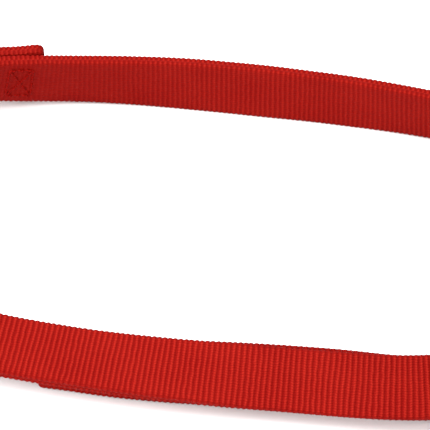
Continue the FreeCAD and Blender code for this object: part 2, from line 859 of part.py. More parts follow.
def make_hook():
    """Barrel and hook in one casting, bored for the bolt and slotted for its thumb stud."""
    body = new_body("hook_body")
    radius = size("barrel_diameter") / 2
    outline = [
        (BARREL_START, 0),
        (BARREL_START, radius - 1.2),
        (BARREL_START + 1.2, radius),
        (BARREL_START + 4, radius),
        (BARREL_START + 4.6, radius - 0.5),
        (BARREL_END - 2.6, radius - 0.5),
        (BARREL_END - 2.0, radius),
        (BARREL_END - 0.6, radius),
        (BARREL_END, radius - 0.6),
        (BARREL_END, 0),
    ]
    spun(body, "hook_barrel", outline)
    path = new_sketch(body, "hook_bend_path", "XZ_Plane")
    edges, root = hook_path(path)
    section_plane = new_sketch(body, "hook_bend_section", "XY_Plane")
    section_plane.AttachmentOffset = Placement(Vector(0, 0, root.y), Rotation())
    circle(section_plane, root.x, 0, "Sizes.hook_wire")
    bend = body.newObject("PartDesign::AdditivePipe", "hook_bend")
    bend.Profile = section_plane
    bend.Spine = (path, [f"Edge{k + 1}" for k in range(len(edges))])
    doc.recompute()
    solid = body.Shape.Volume
    bore = new_sketch(body, "hook_bore_outline", "YZ_Plane")
    bore.AttachmentOffset = Placement(Vector(0, 0, BORE_START), Rotation())
    circle(bore, 0, 0, "Sizes.bore_diameter")
    drilled = body.newObject("PartDesign::Pocket", "hook_bore")
    drilled.Profile = bore
    drilled.Type = "Length"
    drilled.Length = BARREL_END - BORE_START
    drilled.Reversed = True
    doc.recompute()
    bored = body.Shape.Volume
    post = new_sketch(body, "hook_post_outline", "YZ_Plane")
    post.AttachmentOffset = Placement(Vector(0, 0, BARREL_START - 0.5), Rotation())
    circle(post, 0, 0, "Sizes.post_diameter")
    post_hole = body.newObject("PartDesign::Pocket", "hook_post_hole")
    post_hole.Profile = post
    post_hole.Type = "Length"
    post_hole.Length = size("rear_wall") + 1.0
    post_hole.Reversed = True
    doc.recompute()
    holed = body.Shape.Volume
    slot = new_sketch(body, "hook_slot_outline", "XY_Plane")
    half = size("stud_diameter") / 2 + 0.3
    start = size("stud_x") - size("bolt_travel") - half
    end = size("stud_x") + half
    polygon(slot, [(start, -half), (end, -half), (end, half), (start, half)])
    cut = body.newObject("PartDesign::Pocket", "hook_slot")
    cut.Profile = slot
    cut.Type = "Length"
    cut.Length = radius + 1
    cut.Reversed = True
    doc.recompute()
    if not body.Shape.Volume < holed < bored < solid:
        raise RuntimeError("a pocket of the hook cuts nothing")
    body.Placement = HOOK_PLACE
    return body


make_hook()


def make_bolt():
    """The sliding bolt, with a short spigot that centres its spring and a rounded tip."""
    body = new_body("bolt")
    radius = size("bolt_diameter") / 2
    rear = size("bolt_rear")
    tip = size("nose_x") - size("nose_gap")
    outline = [
        (rear - 2.2, 0),
        (rear - 2.2, 1.2),
        (rear, 1.2),
        (rear, radius - 0.3),
        (rear + 0.3, radius),
        (tip - 0.8, radius),
        (tip - 0.2, radius - 0.5),
        (tip, radius - 1.1),
        (tip, 0),
    ]
    spun(body, "bolt_turned", outline)
    doc.recompute()
    whole = body.Shape.Volume
    hole = new_sketch(body, "bolt_stud_outline", "XY_Plane")
    circle(hole, size("stud_x"), 0, "Sizes.stud_diameter")
    cut = body.newObject("PartDesign::Pocket", "bolt_stud_hole")
    cut.Profile = hole
    cut.Type = "Length"
    cut.Length = radius + 1
    cut.Reversed = True
    doc.recompute()
    if body.Shape.Volume >= whole:
        raise RuntimeError("the stud's hole in the bolt cuts nothing")
    body.Placement = HOOK_PLACE
    return body


make_bolt()


def make_stud():
    """The thumb stud: a pin pressed into the bolt, and a domed knob above the barrel."""
    body = new_body("thumb_stud")
    pin = size("stud_diameter") / 2
    knob = size("stud_knob") / 2
    under = size("barrel_diameter") / 2 + 0.4
    outline = [
        (0, 0.05),
        (pin, 0.05),
        (pin, under),
        (knob - 0.3, under),
        (knob, under + 0.5),
        (knob - 0.2, under + 1.3),
        (knob * 0.6, under + 2.0),
        (0, under + 2.2),
    ]
    spun(body, "thumb_stud_turned", outline, axis="V_Axis")
    body.Placement = HOOK_PLACE.multiply(Placement(Vector(size("stud_x"), 0, 0), Rotation()))
    return body


make_stud()


def make_spring():
    """The coil spring behind the bolt."""
    body = new_body("bolt_spring")
    wire = size("spring_wire")
    start = BORE_START + wire / 2 + 0.05
    end = size("bolt_rear") - wire / 2 - 0.05
    profile = new_sketch(body, "bolt_spring_wire", "XZ_Plane")
    circle(profile, start, size("spring_diameter") / 2, "Sizes.spring_wire")
    coil = body.newObject("PartDesign::AdditiveHelix", "bolt_spring_coil")
    coil.Profile = profile
    coil.ReferenceAxis = (profile, ["H_Axis"])
    coil.Mode = "height-turns-growth"
    coil.Height = end - start
    coil.setExpression("Turns", "Sizes.spring_turns")
    body.Placement = HOOK_PLACE
    return body


make_spring()

# ---------------------------------------------------------------- output

doc.recompute()

NODES = [
    "pad_outer_cover",
    "pad_foam_core",
    "pad_lining",
    "pad_upper_binding",
    "pad_lower_binding",
    "pad_stitching",
    "far_pad_tab",
    "near_pad_tab",
    "far_tab_stitching",
    "near_tab_stitching",
    "far_ring",
    "near_ring",
    "main_webbing",
    "adjuster_webbing",
    "main_ring_stitching",
    "adjuster_ring_stitching",
    "main_slider_stitching",
    "slider_frame",
    "hook_eye",
    "swivel_post",
    "swivel_washer",
    "hook_body",
    "bolt",
    "thumb_stud",
    "bolt_spring",
]

for item in doc.Objects:
    if "Invalid" in item.State or "Error" in item.State:
        raise RuntimeError(f"{item.Name} failed: {item.State}")

shapes = {}
for label in NODES:
    found = doc.getObjectsByLabel(label)
    if len(found) != 1:
        raise RuntimeError(f"{len(found)} objects are labelled {label}")
    shape = found[0].Shape
    if shape.isNull() or not shape.isValid():
        raise RuntimeError(f"{label} has no valid shape")
    shapes[label] = shape

os.makedirs("parts", exist_ok=True)
for label, shape in shapes.items():
    shape.exportStep(f"parts/{label}.step")

whole = Part.makeCompound(list(shapes.values())).BoundBox
print("x", round(whole.XMin, 2), round(whole.XMax, 2), "middle", round(whole.Center.x, 3))
print("y", round(whole.YMin, 2), round(whole.YMax, 2), "middle", round(whole.Center.y, 3))
print("z", round(whole.ZMin, 3), round(whole.ZMax, 2))
for label, shape in shapes.items():
    box = shape.BoundBox
    print(
        f"{label:26} {len(shape.Solids):3} solids {shape.Volume:9.1f} mm3"
        f"  z {box.ZMin:6.2f} {box.ZMax:6.2f}"
    )
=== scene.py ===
from math import asin, cos, hypot, pi, radians, sin

import bpy
import numpy as np
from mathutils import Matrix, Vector


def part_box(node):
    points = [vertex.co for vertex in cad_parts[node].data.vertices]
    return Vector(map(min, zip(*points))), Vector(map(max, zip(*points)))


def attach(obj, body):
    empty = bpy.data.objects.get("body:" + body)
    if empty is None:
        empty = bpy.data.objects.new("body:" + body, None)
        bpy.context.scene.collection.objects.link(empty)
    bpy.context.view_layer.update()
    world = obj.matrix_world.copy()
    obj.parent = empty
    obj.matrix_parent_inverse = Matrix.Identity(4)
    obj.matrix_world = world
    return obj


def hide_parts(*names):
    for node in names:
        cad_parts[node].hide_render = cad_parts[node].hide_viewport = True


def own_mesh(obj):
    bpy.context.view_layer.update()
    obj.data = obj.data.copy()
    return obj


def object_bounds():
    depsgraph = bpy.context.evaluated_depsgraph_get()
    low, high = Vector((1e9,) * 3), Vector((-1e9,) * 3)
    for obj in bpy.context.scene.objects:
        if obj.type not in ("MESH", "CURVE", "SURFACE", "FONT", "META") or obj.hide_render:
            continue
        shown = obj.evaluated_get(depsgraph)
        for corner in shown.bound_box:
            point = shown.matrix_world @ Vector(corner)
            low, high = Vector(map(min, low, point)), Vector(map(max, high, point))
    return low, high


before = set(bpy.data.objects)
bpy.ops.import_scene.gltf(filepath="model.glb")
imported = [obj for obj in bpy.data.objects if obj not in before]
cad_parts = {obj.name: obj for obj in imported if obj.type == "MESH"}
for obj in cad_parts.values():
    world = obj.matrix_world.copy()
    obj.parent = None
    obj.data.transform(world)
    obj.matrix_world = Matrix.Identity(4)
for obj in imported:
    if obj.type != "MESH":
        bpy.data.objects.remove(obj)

cad_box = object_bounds()

# Saxophone neck strap. Lengths here are millimetres in the frame's own axes, and MM turns
# them into metres where a mesh, a light or the camera is made.
MM = 0.001

# ---------------------------------------------------------------- sizes shared with the CAD model

DATUM = np.array([-23.75, 14.91, 0.0])
THICK = 3.2
WEBBING = dict(width=15.4, thick=3.35)
LAYER = THICK + 0.2
WRAP_GAP = 0.15
FOLDBACK = 20.5
FOLD_TAPER = 9.0
TAIL_LENGTH = 110.5
TAIL_RISE = 0.8
TAIL_RISE_LENGTH = 30.0
RING_WIRE = 3.0
SLIDER_BAR = 2.4
CENTRE_BAR = 150.0
FRONT_BAR = CENTRE_BAR - 7.0
REAR_BAR = CENTRE_BAR + 9.5
PAD_HALF_WIDTH = 19.0
PAD_END_HALF_WIDTH = 9.5
PAD_START = 7.0
PAD_FOAM = 5.0
PAD_COVER = 1.2
PAD_LINING = 1.0
TAB = dict(width=15.0, thick=1.5)
TAB_DEPTH = 12.0
TAB_GAP = 0.2
BOX_LENGTH = 6.6
BOX_WIDTH = 9.6
STITCH_PITCH = 2.2
EYE = np.array([165.0, -14.0, 14.0])
EYE_WIRE = 3.2
EYE_CLEAR = 0.3
EYE_TURN = EYE_WIRE / 2 + EYE_CLEAR + THICK / 2
RING_TURN = RING_WIRE / 2 + WRAP_GAP + THICK / 2
RING_INSIDE_LENGTH = 8.0
RING_PITCH = RING_INSIDE_LENGTH + RING_WIRE
SLIDER_TURN = SLIDER_BAR / 2 + WRAP_GAP + THICK / 2
TAB_TURN = RING_WIRE / 2 + WRAP_GAP + TAB["thick"] / 2

# Stations of the lines that carry the soft parts, as in the CAD model: x, y, height of the
# band's middle, and the inward lean of its upper edge in degrees.
FAR_STATIONS = [
    (-71, 33.4, 11.8, 17),
    (-62, 37.2, 10.3, 12.5),
    (-50, 41.2, 8.7, 9.6),
    (-36, 44.1, 7.9, 8.5),
    (-16, 45.5, 7.6, 0),
    (6, 45.05, 7.6, -3),
    (28, 43.85, 7.6, 1.5),
    (50, 41.1, 7.8, 8),
    (74, 35.2, 8.4, 10),
    (98, 26.5, 10, 9),
    (118, 16, 12, 6),
    (134, 3, 13.5, 3),
    (147, -7.5, 14, 1),
    (155, EYE[1] + EYE_TURN, EYE[2], 0),
    (EYE[0], EYE[1] + EYE_TURN, EYE[2], 0),
]
NEAR_STATIONS = [
    (-71, -66, 12.6, 30),
    (-60, -66.5, 10.8, 50),
    (-46, -67.3, 8.75, 65),
    (-30, -68.4, 7.9, 67),
    (-8, -70, 7.85, 66.5),
    (15, -70.7, 8.7, 47),
    (36, -70.8, 9, 43),
    (56, -70.5, 9.2, 46),
    (68, -68.05, 10.1, 46),
    (80, -65.6, 11, 46),
    (92, -63.15, 11.9, 46),
    (104, -60.7, 12.8, 46),
    (119, -51.5, 13.3, 26),
    (133, -38, 13.7, 11),
    (146, -24, 14, 3),
    (155, EYE[1] - EYE_TURN, EYE[2], 0),
    (EYE[0], EYE[1] - EYE_TURN, EYE[2], 0),
]
PAD_STATIONS = [
    (-120, 28, 17.5, 12),
    (-143, 23, 20.5, 12),
    (-161, 8, 21.5, 12),
    (-168.5, -18, 21.6, 12),
    (-161, -43, 21.5, 12),
    (-143, -58, 20.5, 12),
    (-120, -64.5, 17.5, 15),
]

# ---------------------------------------------------------------- lines and bands


def unit(v):
    return v / np.maximum(np.linalg.norm(v, axis=-1, keepdims=True), 1e-12)


def ease(f):
    """0 to 1 with level ends."""
    f = np.clip(f, 0.0, 1.0)
    return f * f * (3 - 2 * f)


def cubic(poles, u):
    """Points of the even cubic B-spline that starts and ends on its first and last poles."""
    padded = np.array([poles[0]] * 2 + list(poles) + [poles[-1]] * 2, float)
    i = np.minimum(u.astype(int), len(padded) - 4)
    f = (u - i)[:, None]
    return (
        padded[i] * (1 - f) ** 3
        + padded[i + 1] * (3 * f**3 - 6 * f**2 + 4)
        + padded[i + 2] * (-3 * f**3 + 3 * f**2 + 3 * f + 1)
        + padded[i + 3] * f**3
    ) / 6


LINE_SAMPLES = 4000


class Line:
    """A smooth line in space, with the direction, outward side and width of the band on it."""

    def __init__(self, stations, outside_left):
        self.hand = 1.0 if outside_left else -1.0
        rows = cubic(stations, np.linspace(0, len(stations) + 1, LINE_SAMPLES))
        self.points = rows[:, :3] + DATUM
        self.lean = np.radians(rows[:, 3])
        steps = np.linalg.norm(np.diff(self.points, axis=0), axis=1)
        self.at = np.concatenate([[0.0], np.cumsum(steps)])
        self.length = self.at[-1]

    def point(self, s):
        return np.stack([np.interp(s, self.at, self.points[:, k]) for k in range(3)], axis=1)

    def frame(self, s):
        """Points, directions, outward normals and width directions, one row for each s."""
        s = np.atleast_1d(np.asarray(s, float))
        inside = np.clip(s, 0.0, self.length)
        ahead = np.minimum(inside + 1.0, self.length)
        behind = np.maximum(inside - 1.0, 0.0)
        along = unit(self.point(ahead) - self.point(behind))
        level = np.stack([-along[:, 1], along[:, 0], np.zeros(len(s))], axis=1)
        level_out = unit(level) * self.hand
        upright = unit(np.array([0.0, 0.0, 1.0]) - along * along[:, 2:3])
        lean = np.interp(inside, self.at, self.lean)[:, None]
        width = upright * np.cos(lean) - level_out * np.sin(lean)
        out = unit(np.cross(width, along)) * self.hand
        return self.point(inside) + along * (s - inside)[:, None], along, out, width

    def place(self, s, outward, across=0.0):
        """Points at a distance along, outwards and across the band."""
        point, _, out, width = self.frame(s)
        outward = np.broadcast_to(np.asarray(outward, float), point.shape[:1])
        across = np.broadcast_to(np.asarray(across, float), point.shape[:1])
        return point + out * outward[:, None] + width * across[:, None]


far_line = Line(FAR_STATIONS, outside_left=True)
near_line = Line(NEAR_STATIONS, outside_left=False)


def pad_end_station(line, beyond):
    """A station of the pad's line that continues a webbing line through its ring."""
    point, along, out, _ = (row[0] for row in line.frame(0))
    place = point + out * RING_TURN - along * (RING_PITCH + beyond) - DATUM
    return (*place, np.degrees(line.lean[0]))


PAD_LEAD = 14.0
pad_stations = [pad_end_station(far_line, beyond) for beyond in (0.0, PAD_LEAD)]
pad_stations += PAD_STATIONS
pad_stations += [pad_end_station(near_line, beyond) for beyond in (PAD_LEAD, 0.0)]
pad_line = Line(pad_stations, outside_left=False)

ROUTE_STEP = 0.1
# the short lengths left out where a run meets a turn, which the resampling bridges
JOIN = 0.3
TAB_JOIN = 0.2


def flat(s):
    return np.zeros_like(s)


def on_line(line, s, outward, across=0.0):
    """Centre points and width directions of a route of (along, outwards, across) on a line."""
    return line.place(s, outward, across), line.frame(s)[3]


def straight(line, start, end, outward, across=flat):
    s = np.linspace(start, end, max(3, int(abs(end - start) / ROUTE_STEP)))
    return on_line(line, s, outward(s), across(s))


def turn(line, centre_s, centre_out, radius, first, last):
    angles = np.radians(np.linspace(first, last, max(8, int(abs(last - first) / 3))))
    return on_line(line, centre_s + radius * np.cos(angles), centre_out + radius * np.sin(angles))


def eye_turn():
    angles = np.radians(np.linspace(90, -90, 60))
    ring = np.stack([np.cos(angles), np.sin(angles), np.zeros(60)], axis=1)
    return EYE + DATUM + ring * EYE_TURN, np.tile([0.0, 0.0, 1.0], (60, 1))


def foldback(s):
    """How far outside the run the sewn end of the webbing lies."""
    return 2 * RING_TURN + (LAYER - 2 * RING_TURN) * ease(s / FOLD_TAPER)


def near_main_offset(s):
    return 2 * SLIDER_TURN * (1 - ease((s - REAR_BAR) / (near_line.length - REAR_BAR)))


def slider_foldback(s):
    gap = 2 * SLIDER_TURN + (LAYER - 2 * SLIDER_TURN) * ease((s - REAR_BAR) / FOLD_TAPER)
    return near_main_offset(s) - gap


def tail(s):
    return -LAYER * ease((CENTRE_BAR - s) / (CENTRE_BAR - FRONT_BAR))


def tail_rise(s):
    """How far the free tail rides up the band, away from the slider."""
    return TAIL_RISE * ease((2 * FRONT_BAR - CENTRE_BAR - s) / TAIL_RISE_LENGTH)


def ring_fold(line):
    return [
        straight(line, FOLDBACK, JOIN, foldback),
        turn(line, 0, RING_TURN, RING_TURN, 90, 270),
    ]


def main_route():
    pieces = ring_fold(far_line)
    pieces.append(straight(far_line, JOIN, far_line.length - JOIN, flat))
    pieces.append(eye_turn())
    pieces.append(
        straight(near_line, near_line.length - JOIN, REAR_BAR + JOIN, near_main_offset)
    )
    pieces.append(turn(near_line, REAR_BAR, SLIDER_TURN, SLIDER_TURN, 90, 270))
    pieces.append(straight(near_line, REAR_BAR + JOIN, REAR_BAR + FOLDBACK, slider_foldback))
    return pieces


def adjuster_route():
    swing = np.degrees(asin(2 * SLIDER_TURN / (CENTRE_BAR - FRONT_BAR)))
    pieces = ring_fold(near_line)
    pieces.append(straight(near_line, JOIN, FRONT_BAR - JOIN, flat))
    pieces.append(turn(near_line, FRONT_BAR, SLIDER_TURN, SLIDER_TURN, 270, 270 + swing))
    pieces.append(turn(near_line, CENTRE_BAR, SLIDER_TURN, SLIDER_TURN, 90 + swing, -90))
    free_end = CENTRE_BAR - TAIL_LENGTH
    pieces.append(straight(near_line, CENTRE_BAR - JOIN, free_end, tail, tail_rise))
    return pieces


def tab_route(sign):
    """A tab's two legs and its turn round the ring, at the far (1) or near (-1) end of the pad."""
    base = 0.0 if sign > 0 else pad_line.length
    closed = (TAB["thick"] + TAB_GAP) / 2
    depth = PAD_START + TAB_DEPTH

    def leg(s):
        reach = (s - base) * sign
        return closed + (TAB_TURN - closed) * (1 - ease(reach / PAD_START))

    wrap = np.radians(np.linspace(90, -90, 50))
    return [
        straight(pad_line, base + sign * depth, base + sign * TAB_JOIN, leg),
        on_line(pad_line, base - sign * TAB_TURN * np.cos(wrap), TAB_TURN * np.sin(wrap)),
        straight(pad_line, base + sign * TAB_JOIN, base + sign * depth, lambda s: -leg(s)),
    ]


def resample(pieces, step):
    """One evenly spaced centreline, with its width directions, from a route's pieces."""
    centre = np.concatenate([p[0] for p in pieces])
    width = np.concatenate([p[1] for p in pieces])
    along = np.concatenate([[0.0], np.cumsum(np.linalg.norm(np.diff(centre, axis=0), axis=1))])
    count = int(round(along[-1] / step))
    at = np.linspace(0, along[-1], count + 1)

    def even(values):
        table = np.stack([np.interp(at, along, values[:, k]) for k in range(3)], axis=1)
        smooth = table.copy()
        smooth[1:-1] = (table[:-2] + 2 * table[1:-1] + table[2:]) / 4
        return smooth

    return at, even(centre), unit(even(width))


# ---------------------------------------------------------------- mesh helpers


def add_mesh(name, points, faces, attribute=None, smooth=True):
    """A mesh object from points in millimetres, with an optional value of three numbers each."""
    mesh = bpy.data.meshes.new(name)
    mesh.from_pydata((np.asarray(points, float) * MM).tolist(), [], faces)
    if smooth:
        mesh.polygons.foreach_set("use_smooth", [True] * len(mesh.polygons))
    if attribute is not None:
        layer = mesh.attributes.new("weave", "FLOAT_VECTOR", "POINT")
        layer.data.foreach_set("vector", np.asarray(attribute, np.float32).ravel())
    mesh.update()
    obj = bpy.data.objects.new(name, mesh)
    bpy.context.scene.collection.objects.link(obj)
    return obj


def tube_faces(rings, around, close=True):
    """Quads between rings of points, as an array of vertex numbers."""
    i = np.arange(rings - 1)[:, None] * around
    j = np.arange(around if close else around - 1)
    k = (j + 1) % around
    quads = np.stack([i + j, i + k, i + around + k, i + around + j], axis=-1)
    return quads.reshape(-1, 4)


def wobble(x, y, seed):
    """A smooth, repeatable unevenness, from about -1 to 1."""
    total = 0.0
    for k in range(4):
        a = 1.0 + 0.73 * k
        phase = seed * 1.7 + k * 2.1
        total = total + np.sin(a * x + (1.3 - 0.5 * k) * y + phase) * np.cos(0.61 * a * y + phase)
    return total / 2.4


def outward_quads(points, quads):
    """Whether the closed shape that these quads make up has its volume inside."""
    a, b, c, d = (points[quads[:, k]] - points.mean(axis=0) for k in range(4))
    volume = np.einsum("ij,ij->", a, np.cross(b, c)) + np.einsum("ij,ij->", a, np.cross(c, d))
    return volume > 0


def tube(rings, values):
    """Points, faces and values of a closed tube through rings of points (ring, around, 3)."""
    count, around = rings.shape[:2]
    points = rings.reshape(-1, 3)
    quads = tube_faces(count, around)
    last = (count - 1) * around
    faces = quads.tolist()
    for j in range(around):
        k = (j + 1) % around
        faces.append([len(points), k, j])
        faces.append([len(points) + 1, last + j, last + k])
    if not outward_quads(points, quads):
        faces = [face[::-1] for face in faces]
    points = np.concatenate([points, [rings[0].mean(axis=0), rings[-1].mean(axis=0)]])
    ends = [values[0].mean(axis=0), values[-1].mean(axis=0)]
    return points, faces, np.concatenate([values.reshape(-1, 3), ends])


def closed_tube(name, rings, values):
    points, faces, values = tube(rings, values)
    return add_mesh(name, points, faces, values)


# ---------------------------------------------------------------- ribbed webbing


# how deep the ribs are on a selvedge and in its groove, as a share of those on the faces
SELVEDGE_DEPTH = 0.85
GROOVE_DEPTH = 0.25
# where the points lie round each lobe of a selvedge, in degrees from straight outwards
LOBE_ANGLES = [-55, -15, 25, 65]
# how far from an end the heat has sealed, spread and thinned the band
SEAL_LENGTH = 3.0
FLARE_LENGTH = 9.0
PINCH_LENGTH = 0.9


def ribbed_section(width, thick, across_count):
    """The outline of a woven band: two faces, and two lobes with a groove along each selvedge.

    Each row is across, through, the inward direction (two numbers), which face's ribs it
    follows, and how deep they are there."""
    lobe = thick / 4
    groove = width / 2 - 0.38 * thick / 3
    rows = [(groove, 0.0, -1.0, 0.0, 0, GROOVE_DEPTH)]
    for angle in LOBE_ANGLES:
        a, b = cos(radians(angle)), sin(radians(angle))
        rows.append((width / 2 - lobe + lobe * a, lobe + lobe * b, -a, -b, 0, SELVEDGE_DEPTH))
    face = np.linspace(width / 2 - lobe * 1.1, -(width / 2 - lobe * 1.1), across_count)
    rows += [(a, thick / 2, 0.0, -1.0, 0, 1.0) for a in face]
    for angle in reversed(LOBE_ANGLES):
        a, b = cos(radians(angle)), sin(radians(angle))
        rows.append((-(width / 2 - lobe + lobe * a), lobe + lobe * b, a, -b, 0, SELVEDGE_DEPTH))
    rows.append((-groove, 0.0, 1.0, 0.0, 0, GROOVE_DEPTH))
    back = [(a, -b, ia, -ib, 1, deep) for a, b, ia, ib, _, deep in reversed(rows[1:-1])]
    return np.array(rows + back)


def webbing(name, route, width, thick, rib_pitch, rib_depth, samples, across_count, seed,
            pressed=None, selvedge=0.85, flares=(0.2, 0.2), corner=1.0):
    """A woven band with real ribs on both faces, bumpy selvedges and heat-sealed ends.

    pressed gives the share of the ribs' relief that is left at each distance along each face,
    selvedge how much of the painted highlight on the rib crests is left on the selvedges, the rest
    being painted shade there, flares how far each side spreads at the band's first and last end,
    and corner how far from an end its corners start to round."""
    at, centre, wide = resample(route, rib_pitch / samples)
    along = unit(np.gradient(centre, axis=0))
    through = unit(np.cross(wide, along))
    section = ribbed_section(width, thick, across_count)
    a, b, ia, ib, side, deep = (section[None, :, k] for k in range(6))
    s = at[:, None]
    phase = 2 * pi * s / rib_pitch + pi * side
    phase = phase + 0.45 * wobble(s / 7.0, a / 5.0, seed)
    phase = phase + 0.46 * wobble(s / 1.7, a / 1.1, seed + 3)
    ridge = np.abs(np.cos(phase / 2)) ** 1.1
    from_end = np.minimum(s, at[-1] - s)
    sealed = ease(from_end / SEAL_LENGTH)
    left = sealed if pressed is None else sealed * np.where(deep < 1, 1.0, pressed(s, side))
    depth = rib_depth * deep * (1 - ridge) * (0.12 + 0.88 * left)
    depth = depth + 0.05 * rib_depth * wobble(s / 0.7, a / 0.6, seed + 5) * sealed
    rounding = corner - np.sqrt(np.maximum(corner**2 - np.maximum(corner - from_end, 0) ** 2, 0))
    flare = np.where(s < at[-1] / 2, *flares) * ease(1 - from_end / FLARE_LENGTH)
    flare = flare - 0.55 * rounding
    stretch = 1 + (2 * flare + 0.12 * wobble(s / 11.0, 0 * a, seed + 1)) / width
    pinch = 1 - 0.35 * ease(1 - from_end / PINCH_LENGTH)
    soft = 0.06 * wobble(s / 16.0, a / 9.0, seed + 2) * sealed
    across = (a + ia * depth) * stretch
    off = (b + ib * depth) * pinch + soft
    rings = centre[:, None] + wide[:, None] * across[..., None] + through[:, None] * off[..., None]
    shape = np.broadcast(s, across).shape
    # the painted crest highlight follows this share; on the selvedges it is cut to selvedge, which
    # paints them in shade
    relief = np.where(deep < 1, selvedge, 1.0) * left
    values = np.stack(
        [np.broadcast_to(phase * rib_pitch / (2 * pi), shape), np.broadcast_to(a, shape),
         np.broadcast_to(relief, shape)],
        axis=-1,
    )
    return closed_tube(name, rings, values)


# ---------------------------------------------------------------- materials


class Nodes:
    """A short way to write a material's nodes."""

    def __init__(self, name):
        self.material = bpy.data.materials.new(name)
        self.material.use_nodes = True
        self.tree = self.material.node_tree
        self.shader = self.tree.nodes["Principled BSDF"]

    def add(self, kind, **settings):
        node = self.tree.nodes.new(kind)
        for key, value in settings.items():
            setattr(node, key, value)
        return node

    def wire(self, source, target):
        self.tree.links.new(source, target)

    def put(self, socket, value):
        if isinstance(value, (int, float, tuple)):
            socket.default_value = value
        else:
            self.wire(value, socket)

    def maths(self, operation, a, b=0.0):
        node = self.add("ShaderNodeMath", operation=operation)
        self.put(node.inputs[0], a)
        self.put(node.inputs[1], b)
        return node.outputs[0]

    def weave(self):
        """A woven piece's distance along, distance across and share of its ribs' relief, which on a
        band's selvedges is lowered further to paint them in shade.
        """
        attribute = self.add("ShaderNodeAttribute", attribute_name="weave")
        split = self.add("ShaderNodeSeparateXYZ")
        self.wire(attribute.outputs["Vector"], split.inputs[0])
        return attribute.outputs["Vector"], split.outputs

    def stretched(self, vector, scale):
        mapping = self.add("ShaderNodeMapping")
        mapping.inputs["Scale"].default_value = scale
        self.wire(vector, mapping.inputs["Vector"])
        return mapping.outputs[0]

    def noise(self, vector, scale, detail=3.0, roughness=0.5):
        node = self.add("ShaderNodeTexNoise")
        self.wire(vector, node.inputs["Vector"])
        node.inputs["Scale"].default_value = scale
        node.inputs["Detail"].default_value = detail
        node.inputs["Roughness"].default_value = roughness
        return node.outputs["Fac"]

    def ramp(self, value, low, high, start=0.0, end=1.0):
        node = self.add("ShaderNodeValToRGB")
        node.color_ramp.elements[0].color = (*low, 1)
        node.color_ramp.elements[1].color = (*high, 1)
        node.color_ramp.elements[0].position = start
        node.color_ramp.elements[1].position = end
        self.wire(value, node.inputs[0])
        return node.outputs[0]

    def span(self, value, low, high):
        node = self.add("ShaderNodeMapRange")
        node.inputs["To Min"].default_value = low
        node.inputs["To Max"].default_value = high
        self.wire(value, node.inputs["Value"])
        return node.outputs[0]

    def bump(self, height, distance, strength=1.0):
        node = self.add("ShaderNodeBump")
        node.inputs["Distance"].default_value = distance * MM
        node.inputs["Strength"].default_value = strength
        self.wire(height, node.inputs["Height"])
        self.wire(node.outputs[0], self.shader.inputs["Normal"])

    def finish(self, **values):
        for key, value in values.items():
            self.put(self.shader.inputs[key.replace("_", " ")], value)
        return self.material

    def object_place(self):
        return self.add("ShaderNodeTexCoord").outputs["Object"]


def woven(name, low, high, yarn, rib_pitch, sheen, roughness=0.62):
    """Yarns that run along a ribbed band and show as beads on each rib, with a painted highlight on
    each rib's crest and its beads, and painted shade in the valleys between the ribs.
    """
    n = Nodes(name)
    vector, (along, across, relief) = n.weave()
    wave = n.maths("COSINE", n.maths("MULTIPLY", along, pi / rib_pitch))
    # painted highlight on each rib's crest and painted shade in the valleys between, cut where the
    # ribs' relief is pressed or sealed and on the selvedges
    painted_crest_light = n.maths("MULTIPLY", n.maths("POWER", n.maths("ABSOLUTE", wave), 4.0), relief)
    lean = n.maths("MULTIPLY", n.maths("SINE", n.maths("MULTIPLY", along, pi / rib_pitch)), 0.9)
    drift = n.noise(n.stretched(vector, (0.35, 0.9, 0.0)), 1.0)
    turns = n.maths("ADD", n.maths("MULTIPLY", across, 2 * pi / yarn), lean)
    beads = n.maths("SINE", n.maths("ADD", turns, n.maths("MULTIPLY", drift, 5.0)))
    fibres = n.noise(n.stretched(vector, (1.1, 7.0, 1.0)), 1.4, 4.0, 0.65)
    tone = n.maths("ADD", n.maths("MULTIPLY", painted_crest_light, 0.5), n.maths("MULTIPLY", fibres, 0.5))
    # painted highlight beaded along the ribs by the yarn turns, strongest on the crests
    glint = n.maths("MULTIPLY", n.maths("ADD", painted_crest_light, 0.25), 0.16)
    tone = n.maths("ADD", tone, n.maths("MULTIPLY", beads, glint))
    patches = n.noise(n.stretched(vector, (0.06, 0.12, 0.0)), 1.0, 2.0)
    tone = n.maths("ADD", tone, n.maths("MULTIPLY", n.maths("SUBTRACT", patches, 0.5), 0.25))
    height = n.maths("ADD", n.maths("MULTIPLY", beads, 0.35), fibres)
    n.bump(height, 0.12)
    return n.finish(
        Base_Color=n.ramp(tone, low, high, 0.15, 0.95),
        Roughness=n.span(fibres, roughness - 0.1, roughness + 0.12),
        Specular_IOR_Level=0.04,
        Sheen_Weight=sheen,
        Sheen_Roughness=0.45,
    )


def thread_material(name, low, high):
    """Twisted thread: slanting strands along each stitch."""
    n = Nodes(name)
    vector, (along, around, _) = n.weave()
    strands = n.maths("SINE", n.maths("ADD", n.maths("MULTIPLY", along, 9.0), around))
    fibres = n.noise(vector, 6.0, 3.0)
    tone = n.maths("ADD", n.maths("MULTIPLY", strands, 0.25), fibres)
    n.bump(n.maths("ADD", n.maths("MULTIPLY", strands, 0.6), fibres), 0.06)
    return n.finish(
        Base_Color=n.ramp(tone, low, high, 0.2, 0.8),
        Roughness=n.span(fibres, 0.42, 0.6),
        Specular_IOR_Level=0.03,
        Sheen_Weight=0.0,
    )


